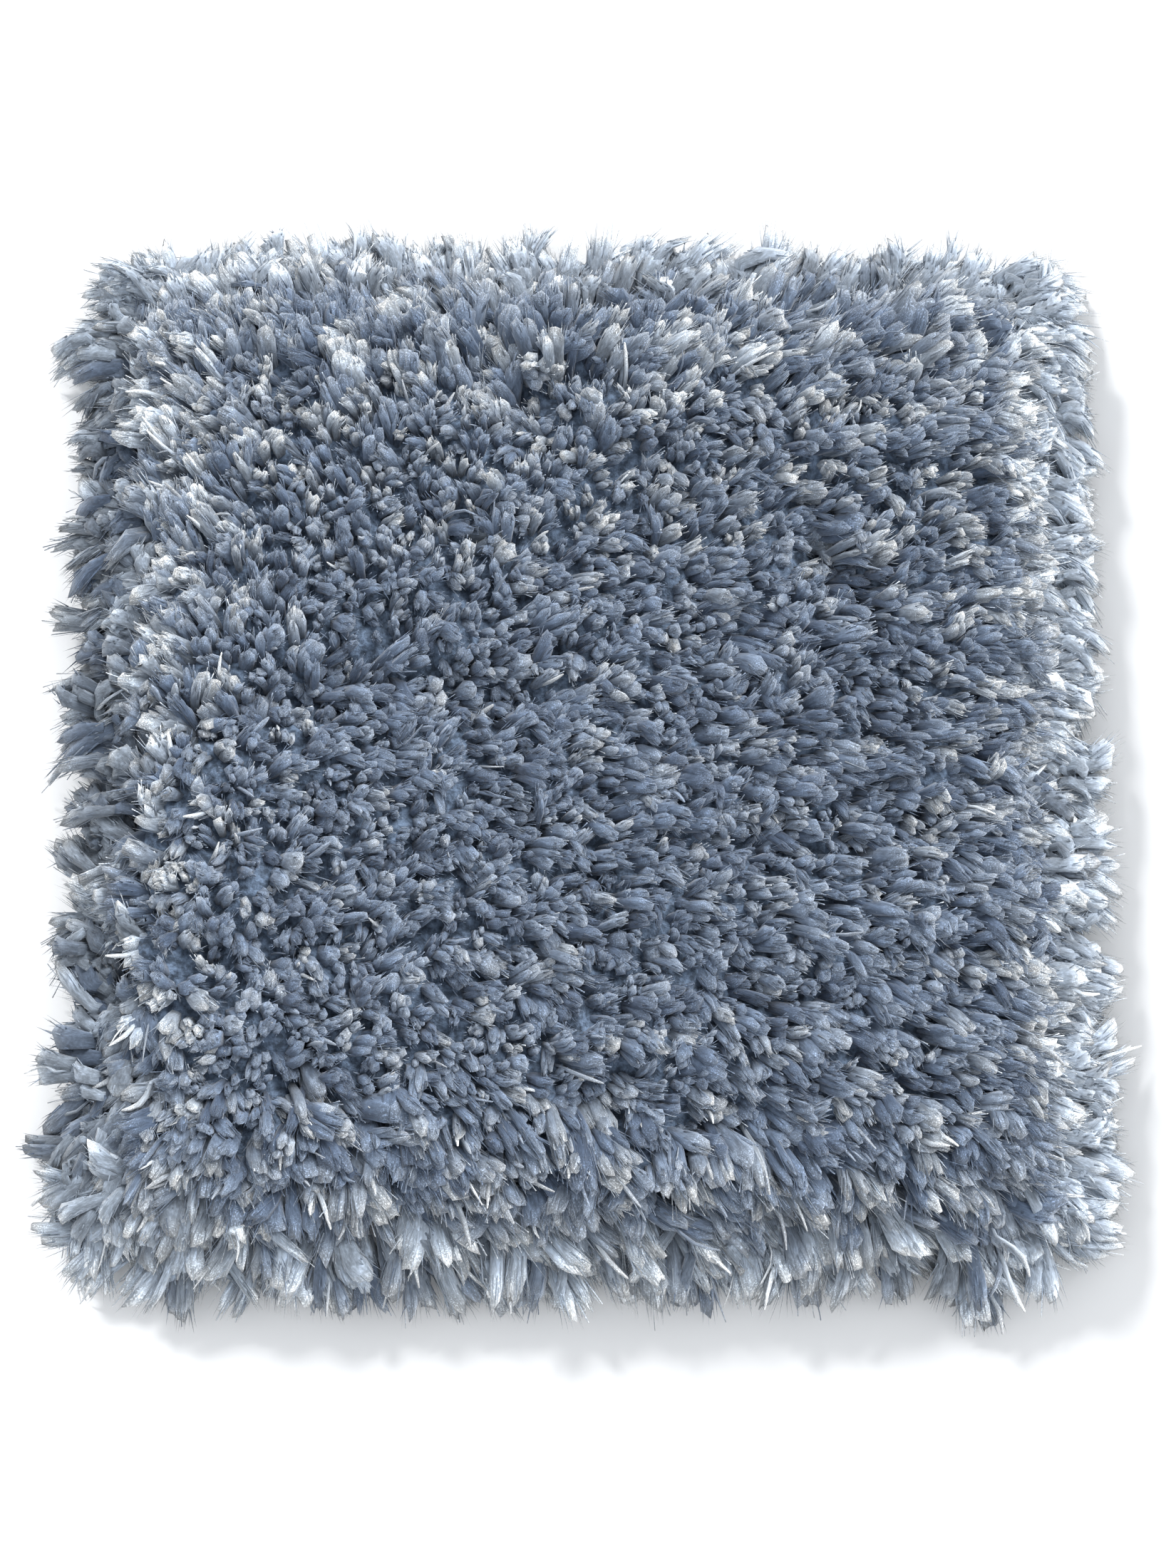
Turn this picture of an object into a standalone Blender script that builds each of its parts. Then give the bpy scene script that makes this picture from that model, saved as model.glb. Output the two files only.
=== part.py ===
"""A square cut of thick shag carpet with a soft cut pile, lying flat on the floor.

It is made of two pieces. The backing is the flat cloth that the tufts stand in. The pile is one
lumpy slab of tufts, parted here and there, which swells out over the backing on all four sides
and ends there in separate locks. Their roots are fused into the slab, and the lowest ones droop
until they lie level just above the floor.

Metres, +Z up. The origin is on the floor, under the middle of the carpet.
"""

import math
import random
from collections import namedtuple

import bmesh
import bpy
from mathutils import Vector, noise

# ---- driving sizes
BACKING_SIDE = 0.172
BACKING_THICKNESS = 0.0025
SEAT_GAP = 0.0003  # between the backing and the pile above it
PILE_HEIGHT = 0.030  # floor to the middle of the pile's top
ROUNDING_WIDTH = 0.016  # how far in from its shoulder the top starts to round over

# ---- the lumps that the tufts gather in, and the slow waves under them
LUMP_PITCH = 0.0125
LUMP_RELIEF = 0.0044
CREASE_SHARE = 0.55  # of a lump's pitch, taken up by the slope into the crease beside it
WAVE_LENGTH = 0.055
WAVE_RELIEF = 0.0026
STRAY_LENGTH = 0.0085
STRAY = 0.0009  # how far the pile's columns stray sideways from an even spacing
LEAST_HEIGHT = 0.017  # no parting goes deeper than this above the floor

# ---- how finely the pile is divided
TOP_CELLS = 44  # along each side
CORNER_EASE = 3  # the higher, the nearer to the rim the grid starts to round its corners
SEED = 15

# ---- the finishes: linear colours and roughness
BACKING_COLOUR = (0.55, 0.53, 0.49)
BACKING_ROUGHNESS = 0.95
PILE_COLOUR = (0.165, 0.215, 0.295)
PILE_ROUGHNESS = 0.80

# ---- the pile's side, from its shoulder down to the foot that sits on the backing.
# outset is how far a ring stands out past the backing's edge, and corner is its corner radius.
Ring = namedtuple("Ring", "outset height corner")
SHOULDER = Ring(outset=0.0030, height=0.0218, corner=0.018)
SIDE_RINGS = (
    SHOULDER,
    Ring(outset=0.0052, height=0.0155, corner=0.019),
    Ring(outset=0.0050, height=0.0090, corner=0.018),
    Ring(outset=0.0008, height=BACKING_THICKNESS + SEAT_GAP, corner=0.004),
)
UNEVENNESS = 0.0013  # how far a side ring wanders in and out

# ---- the locks, from those on the rounded shoulder down to the floor's tier.
# Of the faces in a tier, every one from first on at that spacing is a lock. reach is how far its
# tip stands out from its root, and slack is how much the reach and the tip's height may vary.
Tier = namedtuple("Tier", "first every reach slack tip_height")
SHOULDER_TIER = Tier(first=2, every=5, reach=0.0032, slack=0.0014, tip_height=0.0306)
SIDE_TIERS = (
    Tier(first=0, every=2, reach=0.0066, slack=0.0028, tip_height=0.0238),
    Tier(first=1, every=2, reach=0.0074, slack=0.0030, tip_height=0.0140),
    Tier(first=0, every=2, reach=0.0094, slack=0.0034, tip_height=0.0032),
)
# along is the share of a lock's length. width and depth are shares of its root's: a lock flares
# sideways and flattens, as a brush does.
LockStep = namedtuple("LockStep", "along width depth")
LOCK_STEPS = (
    LockStep(along=0.55, width=1.14, depth=0.76),
    LockStep(along=1.0, width=1.06, depth=0.40),
)
LOCK_SWAY = 0.0010  # how far a tip strays sideways
LOCK_RISE = 0.0016  # how far a lock bows up between its root and its tip
LEAST_WIDTH = 0.72  # the slimmest lock, as a share of the fullest
LOWEST_TIP = 0.0020

# ---- the deeper partings in the pile, as soft troughs from one end to the other
Parting = namedtuple("Parting", "start end width depth")
PARTINGS = (
    Parting(start=(-0.068, 0.000), end=(-0.046, 0.008), width=0.0045, depth=0.0060),
    Parting(start=(-0.046, 0.008), end=(-0.012, 0.004), width=0.0040, depth=0.0055),
    Parting(start=(-0.018, 0.078), end=(-0.012, 0.062), width=0.0050, depth=0.0060),
    Parting(start=(-0.012, 0.062), end=(0.010, 0.072), width=0.0035, depth=0.0035),
    Parting(start=(0.044, 0.040), end=(0.048, 0.026), width=0.0055, depth=0.0080),
    Parting(start=(0.030, -0.022), end=(0.060, -0.016), width=0.0045, depth=0.0050),
    Parting(start=(0.022, -0.050), end=(0.032, -0.044), width=0.0045, depth=0.0055),
    Parting(start=(0.000, -0.068), end=(0.036, -0.074), width=0.0050, depth=0.0065),
    Parting(start=(0.066, 0.066), end=(0.082, 0.076), width=0.0045, depth=0.0045),
    Parting(start=(-0.034, -0.072), end=(-0.050, -0.064), width=0.0045, depth=0.0045),
)


def clear_scene():
    for obj in list(bpy.data.objects):
        bpy.data.objects.remove(obj)


def plain_material(name, colour, roughness):
    """A Principled BSDF in one colour, as cloth is: rough and not metallic."""
    material = bpy.data.materials.new(name)
    material.use_nodes = True
    shader = material.node_tree.nodes["Principled BSDF"]
    shader.inputs["Base Color"].default_value = (*colour, 1.0)
    shader.inputs["Roughness"].default_value = roughness
    shader.inputs["Metallic"].default_value = 0.0
    return material


def add_object(name, bm, material):
    mesh = bpy.data.meshes.new(name)
    bm.to_mesh(mesh)
    bm.free()
    mesh.materials.append(material)
    obj = bpy.data.objects.new(name, mesh)
    bpy.context.scene.collection.objects.link(obj)
    return obj


def rounded_outline(across, along, half, corner):
    """The point of a rounded square that a point of the unit square from -1 to 1 goes to.

    The middle keeps its square grid, and the corners are drawn in more and more towards the edge.
    """
    reach = max(abs(across), abs(along))
    if reach < 1e-9:
        return Vector((0.0, 0.0))
    on_edge = Vector((across, along)) * (half / reach)
    core = half - corner
    nearest = Vector((max(-core, min(core, on_edge.x)), max(-core, min(core, on_edge.y))))
    past = on_edge - nearest
    if past.length > corner:
        on_edge = nearest + past * (corner / past.length)
    square = Vector((across, along)) * half
    return square.lerp(on_edge * reach, reach**CORNER_EASE)


def distance_to_segment(point, start, end):
    line = end - start
    share = max(0.0, min(1.0, (point - start).dot(line) / line.length_squared))
    return (point - start - line * share).length


def lump_relief(place):
    """Rounded lumps with soft creases between them, from -0.5 in a crease to 0.5 on a crown."""
    (nearest, second, _, _), _ = noise.voronoi(
        Vector((place.x / LUMP_PITCH, place.y / LUMP_PITCH, SEED))
    )
    crown = min(1.0, (second - nearest) / CREASE_SHARE)
    return crown * crown * (3.0 - 2.0 * crown) - 0.5


def strayed(place):
    """The place that an even grid's point is moved to, so that no two columns are the same."""
    at = Vector((place.x / STRAY_LENGTH, place.y / STRAY_LENGTH, SEED))
    aside = noise.noise_vector(at)
    return place + STRAY * Vector((aside.x, aside.y))


def top_height(place, reach):
    """The pile's height at a place of its top. reach is 0 in the middle and 1 on the shoulder."""
    rounding = ROUNDING_WIDTH / (BACKING_SIDE / 2 + SHOULDER.outset)
    past = max(0.0, min(1.0, 1.0 - (1.0 - reach) / rounding))
    rise = PILE_HEIGHT - SHOULDER.height
    height = SHOULDER.height + rise * math.sqrt(1.0 - past**2)
    wave = noise.noise(Vector((place.x / WAVE_LENGTH, place.y / WAVE_LENGTH, SEED)))
    height += WAVE_RELIEF * wave + LUMP_RELIEF * lump_relief(place)
    for parting in PARTINGS:
        away = distance_to_segment(place, Vector(parting.start), Vector(parting.end))
        height -= parting.depth * math.exp(-((away / parting.width) ** 2))
    return max(LEAST_HEIGHT, height)


def pile_top(bm):
    """The pile's top: its shoulder's vertices, and the faces next to the shoulder."""
    rows = []
    for j in range(TOP_CELLS + 1):
        row = []
        for i in range(TOP_CELLS + 1):
            across, along = 2.0 * i / TOP_CELLS - 1.0, 2.0 * j / TOP_CELLS - 1.0
            half = BACKING_SIDE / 2 + SHOULDER.outset
            place = strayed(rounded_outline(across, along, half, SHOULDER.corner))
            reach = max(abs(across), abs(along))
            row.append(bm.verts.new((place.x, place.y, top_height(place, reach))))
        rows.append(row)
    cells = [
        [bm.faces.new(corners) for corners in zip(low, low[1:], high[1:], high)]
        for low, high in zip(rows, rows[1:])
    ]
    shoulder = [rows[j][i] for i, j in round_the_rim(TOP_CELLS)]
    return shoulder, [cells[j][i] for i, j in round_the_rim(TOP_CELLS - 1)]


def round_the_rim(last):
    """The edge of a grid from 0 to last, step by step, anticlockwise from its first corner."""
    lower = [(i, 0) for i in range(last)]
    right = [(last, j) for j in range(last)]
    upper = [(i, last) for i in range(last, 0, -1)]
    left = [(0, j) for j in range(last, 0, -1)]
    return lower + right + upper + left


def side_ring(bm, ring):
    """One ring of vertices down the pile's side. The foot, on the backing, stays even."""
    verts = []
    is_foot = ring is SIDE_RINGS[-1]
    half = BACKING_SIDE / 2 + ring.outset
    for i, j in round_the_rim(TOP_CELLS):
        across, along = 2.0 * i / TOP_CELLS - 1.0, 2.0 * j / TOP_CELLS - 1.0
        place = rounded_outline(across, along, half, ring.corner)
        if not is_foot:
            place = strayed(place)
            at = Vector((place.x, place.y, ring.height)) / LUMP_PITCH
            place *= 1.0 + UNEVENNESS * noise.noise(at) / half
        verts.append(bm.verts.new((place.x, place.y, ring.height)))
    return verts


def pile_side(bm, shoulder):
    """The side's faces between one ring and the next, tier by tier, and the flat foot below."""
    rings = [shoulder] + [side_ring(bm, ring) for ring in SIDE_RINGS[1:]]
    tiers = []
    for upper, lower in zip(rings, rings[1:]):
        tier = []
        for k in range(len(upper)):
            after = (k + 1) % len(upper)
            tier.append(bm.faces.new((upper[after], upper[k], lower[k], lower[after])))
        tiers.append(tier)
    bm.faces.new(list(reversed(rings[-1])))
    return tiers


def grow_lock(bm, root_face, tier, rng):
    """Draws one face of the side out into a four-sided lock that bows over and ends blunt."""
    root = root_face.calc_center_median()
    outward = Vector((root_face.normal.x, root_face.normal.y, 0.0)).normalized()
    sideways = Vector((0.0, 0.0, 1.0)).cross(outward)
    tip = root + outward * (tier.reach + rng.uniform(-1.0, 0.75) * tier.slack)
    tip += sideways * rng.uniform(-LOCK_SWAY, LOCK_SWAY)
    tip.z = max(LOWEST_TIP, tier.tip_height + rng.uniform(-0.5, 0.5) * tier.slack)
    bow = (root + tip) / 2 + Vector((0.0, 0.0, LOCK_RISE)) + outward * LOCK_RISE
    fullness = rng.uniform(LEAST_WIDTH, 1.0)
    corners = [v.co - root for v in root_face.verts]
    root_upright = root_face.normal.cross(sideways)
    face = root_face
    for step in LOCK_STEPS:
        t = step.along
        place = root * (1 - t) ** 2 + bow * (2 * t * (1 - t)) + tip * t**2
        heading = ((bow - root) * (1 - t) + (tip - bow) * t).normalized()
        upright = heading.cross(sideways)
        face = bmesh.ops.extrude_discrete_faces(bm, faces=[face])["faces"][0]
        for vert, corner in zip(face.verts, corners):
            across = corner.dot(sideways) * step.width * fullness
            deep = corner.dot(root_upright) * step.depth
            vert.co = place + sideways * across + upright * deep


def grow_locks(bm, shoulder_faces, side_tiers):
    """Each tier grows its locks, staggered from one tier to the next."""
    rng = random.Random(SEED)
    bm.normal_update()
    for faces, tier in zip([shoulder_faces, *side_tiers], [SHOULDER_TIER, *SIDE_TIERS]):
        for face in faces[tier.first :: tier.every]:
            grow_lock(bm, face, tier, rng)


def centre_in_plan(bm):
    """Slides the pile so that it reaches equally far to each side of the origin."""
    for axis in range(2):
        values = [v.co[axis] for v in bm.verts]
        middle = (min(values) + max(values)) / 2
        for vert in bm.verts:
            vert.co[axis] -= middle


def build_pile(material):
    bm = bmesh.new()
    shoulder, shoulder_faces = pile_top(bm)
    grow_locks(bm, shoulder_faces, pile_side(bm, shoulder))
    centre_in_plan(bm)
    return add_object("pile", bm, material)


def build_backing(material):
    bm = bmesh.new()
    bmesh.ops.create_cube(bm, size=1.0)
    bmesh.ops.scale(bm, vec=(BACKING_SIDE, BACKING_SIDE, BACKING_THICKNESS), verts=bm.verts)
    bmesh.ops.translate(bm, vec=(0.0, 0.0, BACKING_THICKNESS / 2), verts=bm.verts)
    return add_object("backing", bm, material)


def main():
    noise.seed_set(SEED)
    clear_scene()
    build_backing(plain_material("backing_cloth", BACKING_COLOUR, BACKING_ROUGHNESS))
    build_pile(plain_material("pile_yarn", PILE_COLOUR, PILE_ROUGHNESS))


main()
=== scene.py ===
"""A square cut of thick shag carpet: its yarn tufts, sheen strands, loose fibres and backing cloth.

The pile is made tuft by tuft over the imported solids. Every tuft is one soft yarn that stands in
the backing, bends over the way the pile is combed and ends in a brush of cut fibres. At the rim
the yarns fall outwards over the backing's edge, down to the floor.
"""

import math
from collections import namedtuple

import bpy
import numpy as np
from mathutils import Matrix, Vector
from mathutils.bvhtree import BVHTree
from mathutils.kdtree import KDTree


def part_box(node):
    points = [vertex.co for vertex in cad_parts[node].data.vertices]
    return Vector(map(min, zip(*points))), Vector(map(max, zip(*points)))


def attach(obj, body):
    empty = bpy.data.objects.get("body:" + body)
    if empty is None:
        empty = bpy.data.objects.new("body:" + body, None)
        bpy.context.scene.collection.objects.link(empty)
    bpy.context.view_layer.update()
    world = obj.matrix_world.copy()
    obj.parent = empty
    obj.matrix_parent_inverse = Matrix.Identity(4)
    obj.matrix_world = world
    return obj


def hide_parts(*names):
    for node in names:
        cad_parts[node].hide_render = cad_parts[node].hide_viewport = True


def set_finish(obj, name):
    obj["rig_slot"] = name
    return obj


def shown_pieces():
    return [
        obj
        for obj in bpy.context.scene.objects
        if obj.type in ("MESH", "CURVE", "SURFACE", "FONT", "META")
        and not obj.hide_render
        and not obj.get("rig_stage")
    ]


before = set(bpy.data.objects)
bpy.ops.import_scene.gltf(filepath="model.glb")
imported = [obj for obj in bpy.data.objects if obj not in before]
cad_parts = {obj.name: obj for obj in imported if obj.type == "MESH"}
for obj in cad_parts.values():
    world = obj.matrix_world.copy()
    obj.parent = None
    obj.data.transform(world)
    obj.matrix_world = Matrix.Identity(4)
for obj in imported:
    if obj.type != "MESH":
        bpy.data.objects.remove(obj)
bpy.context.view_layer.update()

bl_info = {
    "name": "Shag carpet",
    "version": (1, 0, 0),
    "blender": (4, 5, 0),
    "location": "3D View > Sidebar > Shag",
    "description": "Makes a square cut of shag carpet, tuft by tuft",
    "category": "Add Mesh",
}

MM = 0.001
BODY = "root"
MAP = "OFBake"  # the map that all yarn reads its colour from
BACKING_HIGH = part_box("backing")[1]
BACKING_HALF = BACKING_HIGH.x
SEED = 11

# ---- the plan of the tufts' roots, in rows both ways
INNER_ROWS = 19  # each way from the middle, at the pitch of the pile
ROWS = 31  # each way from the middle, with the closer ones at the rim
STAGGER = 0.25  # of the pitch, each row's shift to one side and the next row's to the other
STRAGGLE = 0.45  # of the pitch, how far a root strays from its row
ROOT_MARGIN = 1.2 * MM  # from the outermost roots to the backing's edge
ROOT_CORNER = 6 * MM
FAN = 8  # the higher, the nearer to a corner the rim starts to fan out

# ---- where the rim's cut ends lie, in millimetres: inset is how far in from the backing's edge a
# tuft stands, reach how far out it falls from there, and height that of its end above the floor
RimStep = namedtuple("RimStep", "inset reach height")
RIM = (
    RimStep(0, 15.5, 1.8),
    RimStep(2.5, 15.8, 4.5),
    RimStep(5, 15.6, 9.0),
    RimStep(8, 13.8, 14.5),
    RimStep(12, 10.6, 20.0),
    RimStep(17, 6.2, 24.5),
    RimStep(24, 2.0, 27.5),
    RimStep(30, 0.0, 29.0),
)
RIM_INSETS = (7 * MM, 22 * MM)  # all rim up to the first, and none of it from the second on
FURTHER = (-0.8, 2.2, -1.4, 4.2)  # mm more of reach to the east, north, west and south
REACH_VARIES = (0.80, 1.16)

# ---- how the pile is combed: round a place in millimetres the ends lean that far, in
# millimetres, and that way, in degrees from +X
Combed = namedtuple("Combed", "x y reach heading lean")
COMBED = (
    Combed(-38, 62, 32, 138, 3.6),
    Combed(-94, 10, 20, 136, 5.0),
    Combed(-94, -40, 18, 150, 4.6),
    Combed(-66, 30, 18, 100, 3.4),
    Combed(-24, 6, 30, -2, 7.0),
    Combed(20, 0, 36, -6, 7.4),
    Combed(48, 68, 36, -4, 6.4),
    Combed(80, 8, 34, -16, 7.6),
    Combed(60, -60, 36, -36, 8.0),
    Combed(-10, -84, 24, -50, 4.8),
    Combed(-70, -86, 22, 235, 5.4),
    Combed(-54, -36, 30, -4, 6.2),
)

LEAN_WANDERS = 1.6 * MM
WANDER_LENGTH = 24 * MM  # over which it does
SWEPT = 0.8  # the lean's share in the way that a rim tuft falls
SWEPT_MORE = 1.0  # of it, towards the lower right corner
WAY_STRAYS = 0.32
HEADS_STRAY = 0.75 * MM

# ---- how the cut ends gather on the pile's lumps and leave its partings open
SLOPE_STEP = 2.5 * MM  # each way, over which the pile's slope is measured
STEEPEST = 0.6
GATHER = 2.8 * MM  # how far up a slope of 1 an end moves

# ---- the cut ends push each other apart until they lie evenly over the pile
SPREAD_ROUNDS = 30
SPREAD_REACH = 4.2 * MM
SPREAD_NEAREST = 7  # counting the end itself
SPREAD_SHARE = 0.22  # of the overlap, how far an end moves in a round
GAPS = 5  # how many of its nearest ends tell how far apart an end is
ENDS_STRAY = 0.5 * MM
HEIGHTS_STRAY = 0.6 * MM
LOWEST_END, HIGHEST_END = 1.2 * MM, 33 * MM

# ---- how the yarns bend over their knees, in degrees of the cut end from upright
TIP_LEAN = 22
TIP_LEAN_MORE = 3.8  # for each millimetre that the end lies aside
TIP_LEAN_VARIES = 12
TIP_LEANS = (16, 68)  # least and most
LOWEST_KNEE = 0.4  # of the end's height
LENGTH_VARIES = (0.97, 1.03)
KNEES_STRAY = 3.2 * MM
HALVINGS = 30  # to find the height of a knee

# ---- how the tufts differ, as shares: least, most usual and most
TUFT_WIDTHS = (0.56, 0.95, 1.52)
LOCK_WIDTHS = (0.58, 0.95, 1.42)
ROOM = (0.92, 1.15)  # least and most of a tuft's width for the room that it has
PUFFS = 0.05  # of all tufts, those that are wider and paler
WIDEST = 5.0 * MM
WIDEST_MORE = 1.2 * MM  # at the rim
TONE, TONE_VARIES = 0.305, 0.11
CLUSTERS = ((0.27, 6 * MM), (0.27, 13 * MM))  # how much the tone changes, over which length
PALEST = 0.59  # before the painted light is added
CURL, RIM_CURL = 0.5, 1.3  # mm that an end bends aside, and how much more at the rim

# ---- how far a tuft's locks stand apart, as a share of its width
Opening = namedtuple("Opening", "root knee head")
OPENING = Opening(0.14, 0.22, 0.30)
FLATTENED = 0.8  # of that, out of the tuft's flat side

# ---- a lock and a sheen strand from root to cut end: how far along each step is as a share of
# the length, its width as a share of the whole width, its thickness as a share of that, and its
# level on the map
Step = namedtuple("Step", "along width thickness level")
LOCK = (
    Step(0.00, 0.40, 0.90, 0.04),
    Step(0.58, 0.66, 0.88, 0.48),
    Step(0.81, 0.92, 0.80, 0.76),
    Step(0.92, 1.00, 0.72, 0.90),
    Step(0.99, 0.64, 0.62, 0.97),
)
STRAND = (
    Step(0.20, 0.40, 0.55, 0.20),
    Step(0.50, 0.60, 0.55, 0.50),
    Step(0.68, 0.80, 0.55, 0.68),
    Step(0.80, 1.00, 0.55, 0.80),
    Step(0.88, 1.05, 0.55, 0.88),
    Step(0.95, 0.85, 0.55, 0.94),
    Step(1.00, 0.40, 0.55, 0.98),
)
SIDES, STRAND_SIDES, FIBRE_SIDES = 5, 4, 3
SLIM = 0.40  # of a broad strand's width
COLUMNS = 72  # of the yarn's map, from the darkest tone to the palest

# ---- levels on the map of a loose fibre: its broad end and its point, then the cap that closes
# the broad end, which is at its base, or at its tip where it is a cut fibre
FIBRE_LEVELS = ((0.80, 1.0), (0.78, 0.80))
CUT_FIBRE_LEVELS = ((0.97, 0.80), (0.98, 1.0))
CUT_FIBRE_WIDTH = 0.75  # of the others'
PAINTED_GLINTS = 0.04  # of all fibres, those painted paler as glints

# ---- the dense lower pile and the backing cloth
UNDER_MARGIN = 3 * MM  # from the backing's edge to the dense lower pile
UNDER_CELLS = 64
CLOTH_CELLS = 48
CLOTH_MARGIN = 0.3 * MM
THREAD_PITCH = 1.6 * MM

# ---- the lowest that yarn, a fibre's point and its broad end lie
YARN_LOWEST, POINT_LOWEST, FIBRE_LOWEST = 0.2 * MM, 0.3 * MM, 0.15 * MM

# ---- the stage: where each light stands, in degrees from +X and above the floor, how many degrees
# wide it is, and how much of the floor the camera sees
Sun = namedtuple("Sun", "name strength azimuth elevation spread")
CARPET_SUNS = (Sun("key", 3.4, 50, 47, 40),)
FLOOR_SUNS = (Sun("floor_key", 2.3, 128, 39, 9), Sun("floor_fill", 0.8, 0, 90, 120))
SKY = (0.93, 0.96, 1.0, 1)
SKY_STRENGTH = 0.75
FLOOR_HALF, FLOOR_CORNERS = 2.0, ((-1, -1), (1, -1), (1, 1), (-1, 1))
FLOOR_DROP = 0.2 * MM  # below the carpet
VIEW_MIDDLE = (1.7 * MM, -8.0 * MM, 14 * MM)
VIEW_HEIGHT = 290 * MM


# ------------------------ settings


class PileSettings(bpy.types.PropertyGroup):
    """Sizes of the yarn pile."""

    pitch: bpy.props.FloatProperty(
        name="Row pitch",
        description="Between two rows of tufts in the middle of the carpet",
        default=3.1 * MM,
        unit="LENGTH",
    )
    rim_pitch: bpy.props.FloatProperty(
        name="Rim pitch",
        description="Between two rows of tufts near the rim",
        default=2.2 * MM,
        unit="LENGTH",
    )
    under_depth: bpy.props.FloatProperty(
        name="Underpile depth",
        description="How far below the pile's top the dense lower pile lies",
        default=4.2 * MM,
        unit="LENGTH",
    )
    yarn_length: bpy.props.FloatProperty(
        name="Yarn length",
        description="Length of a yarn from the backing to its cut end",
        default=30.0 * MM,
        unit="LENGTH",
    )
    yarn_width: bpy.props.FloatProperty(
        name="Tuft width",
        description="Width of a tuft's cut end in the middle of the carpet",
        default=3.4 * MM,
        unit="LENGTH",
    )
    rim_width: bpy.props.FloatProperty(
        name="Rim tuft width",
        description="Width of a tuft's cut end at the rim",
        default=4.6 * MM,
        unit="LENGTH",
    )
    locks: bpy.props.IntProperty(
        name="Locks",
        description="Locks that each tuft opens into",
        default=3,
    )
    lock_width: bpy.props.FloatProperty(
        name="Lock width",
        description="A lock's width as a share of its tuft's",
        default=0.70,
    )
    fray: bpy.props.FloatProperty(
        name="Fray",
        description="How uneven a lock's cut end is",
        default=0.7 * MM,
        unit="LENGTH",
    )
    fibres: bpy.props.IntProperty(
        name="Fine fibres",
        description="Fibres that stand off each lock in the middle of the carpet",
        default=6,
    )
    rim_fibres: bpy.props.IntProperty(
        name="Fine fibres at the rim",
        description="Fibres that stand off each lock at the rim",
        default=10,
    )
    fibre_width: bpy.props.FloatProperty(
        name="Fibre width",
        description="Width of a fine fibre where it leaves its lock",
        default=0.30 * MM,
        unit="LENGTH",
    )
    strands: bpy.props.IntProperty(
        name="Sheen strands",
        description="Number of shiny strands between the tufts",
        default=1000,
    )
    strand_width: bpy.props.FloatProperty(
        name="Strand width",
        description="Width of a shiny strand",
        default=0.90 * MM,
        unit="LENGTH",
    )


class FinishSettings(bpy.types.PropertyGroup):
    """Colours of the yarn and the cloth."""

    # painted shade: the yarn's root, and the underpile, a little darker than the shaft, for the
    # shade deep in the pile
    root: bpy.props.FloatVectorProperty(
        name="Yarn root",
        description="Colour of the yarn deep in the pile",
        subtype="COLOR",
        default=(0.135, 0.185, 0.265),
    )
    shaft: bpy.props.FloatVectorProperty(
        name="Yarn shaft",
        description="Colour of the yarn below its cut end",
        subtype="COLOR",
        default=(0.150, 0.200, 0.282),
    )
    # the cut end: paler than the shaft, partly the cut fibres' own whitish ends and partly painted
    # light
    cut_end: bpy.props.FloatVectorProperty(
        name="Cut end",
        description="Colour of the fibres' cut ends",
        subtype="COLOR",
        default=(0.235, 0.295, 0.385),
    )
    # the palest yarn: at the very cut ends partly painted light, and the sheen strands' painted
    # sheen
    pale: bpy.props.FloatVectorProperty(
        name="Pale yarn",
        description="Colour of the palest yarn and the sheen strands",
        subtype="COLOR",
        default=(0.345, 0.400, 0.475),
    )
    cloth: bpy.props.FloatVectorProperty(
        name="Backing cloth",
        description="Colour of the woven backing",
        subtype="COLOR",
        default=(0.550, 0.530, 0.490),
    )


class StageSettings(bpy.types.PropertyGroup):
    """The camera, the lights and the floor."""

    elevation: bpy.props.FloatProperty(
        name="Camera elevation",
        description="Angle of the camera above the floor",
        default=math.radians(80),
        subtype="ANGLE",
    )
    distance: bpy.props.FloatProperty(
        name="Camera distance",
        description="From the camera to the middle of the carpet",
        default=0.43,
        unit="LENGTH",
    )
    floor: bpy.props.FloatVectorProperty(
        name="Floor",
        description="Colour of the studio floor",
        subtype="COLOR",
        default=(0.86, 0.865, 0.87),
    )


# ------------------------ the plan of the tufts

# curl is how far the yarn's end bends aside, and rim is 1 where it falls over the backing's edge
Tufts = namedtuple("Tufts", "root knee head across curl width rim tone")
# base is where a fibre leaves its lock, and columns is its part of the yarn's map
Fibres = namedtuple("Fibres", "base tip across width columns blunt")


def unit(vectors):
    """The same vectors at length 1."""
    return vectors / np.maximum(np.linalg.norm(vectors, axis=-1, keepdims=True), 1e-9)


def eased(value, start, end):
    """0 up to start, 1 from end on, and a smooth rise in between."""
    share = np.clip((value - start) / (end - start), 0, 1)
    return share * share * (3 - 2 * share)


def turns(count):
    """Angles of that many even steps round a circle."""
    return 2 * math.pi * np.arange(count) / count


def root_rows(pile):
    """Places of the rows each way from the middle."""
    steps = np.arange(-ROWS, ROWS + 1)
    inner = np.minimum(np.abs(steps), INNER_ROWS) * pile.pitch
    outer = np.maximum(np.abs(steps) - INNER_ROWS, 0) * pile.rim_pitch
    return np.sign(steps) * (inner + outer)


def inset_of(places):
    """How far in from the backing's rounded edge each place lies."""
    past = np.abs(places) - (BACKING_HALF - ROOT_CORNER)
    outside = np.linalg.norm(np.maximum(past, 0), axis=1)
    inside = np.minimum(np.max(past, axis=1), 0)
    return ROOT_CORNER - outside - inside


def combed(places):
    """The way the pile lies over at each place, as a flat vector in metres."""
    pull = np.zeros_like(places)
    total = np.zeros((len(places), 1))
    for area in COMBED:
        apart = (places - np.array((area.x, area.y)) * MM) / (area.reach * MM)
        weight = np.exp(-np.sum(apart**2, axis=1, keepdims=True))
        heading = math.radians(area.heading)
        way = np.array((math.cos(heading), math.sin(heading)))
        pull += weight * way * area.lean * MM
        total += weight
    return pull / np.maximum(total, 1e-6)


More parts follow.
